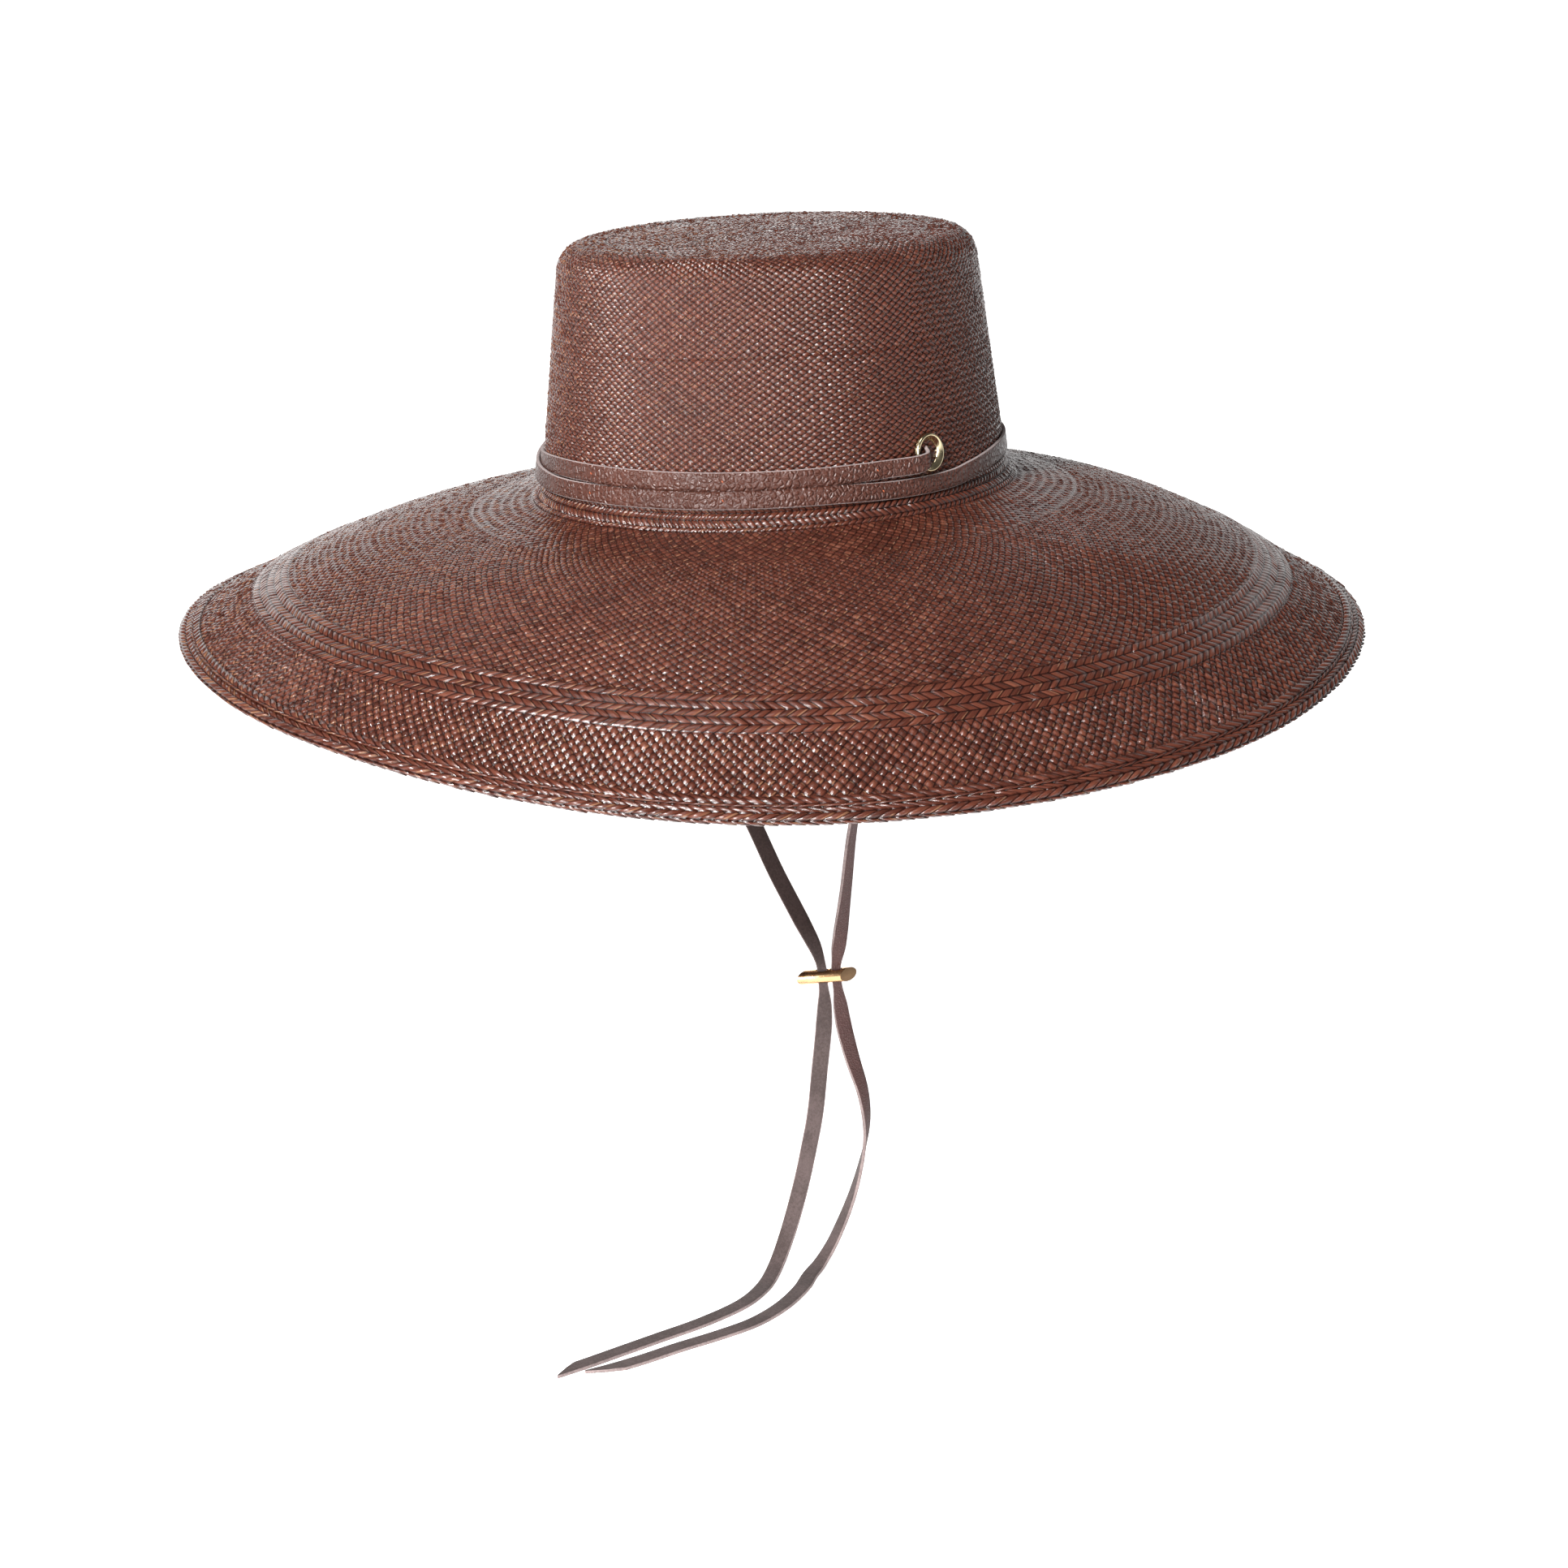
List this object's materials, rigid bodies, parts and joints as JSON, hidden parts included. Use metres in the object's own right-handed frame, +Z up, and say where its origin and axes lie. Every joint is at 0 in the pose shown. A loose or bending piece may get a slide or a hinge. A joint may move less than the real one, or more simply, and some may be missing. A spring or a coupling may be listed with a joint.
{
  "type": "wide-brim straw hat with chin laces",
  "caption": "Wide-brim woven straw hat with a flat oval crown, a wound leather lace band, brass eyelets and chin laces through a brass toggle",
  "frame": {"origin": "centre of the head opening, where the crown's wall would meet the brim: the middle of the oval that a head fills", "axes": "+Z up out of the crown's tip, -Y the way the wearer looks, +X the wearer's left"},
  "size_m": [0.4664, 0.5004, 0.4403],
  "materials": {
    "straw": "red-brown dyed toquilla straw in a fine diagonal weave, satin sheen, darker between the strands",
    "leather": "pebbled red-brown leather, satin, with paler cut edges",
    "suede": "napped grey-brown flesh side of the same lace, matt, smooth and darker on its other face",
    "pale_brass": "polished pale brass, rolled edge",
    "brass": "polished warm brass, brushed and darker on its slanted ends"
  },
  "bodies": {
    "root": {"straw_body": "straw", "band_lace": "leather", "eyelet_left": "pale_brass", "eyelet_right": "pale_brass", "chin_lace_left": "suede", "chin_lace_right": "suede", "toggle": "brass"}
  },
  "joints": []
}
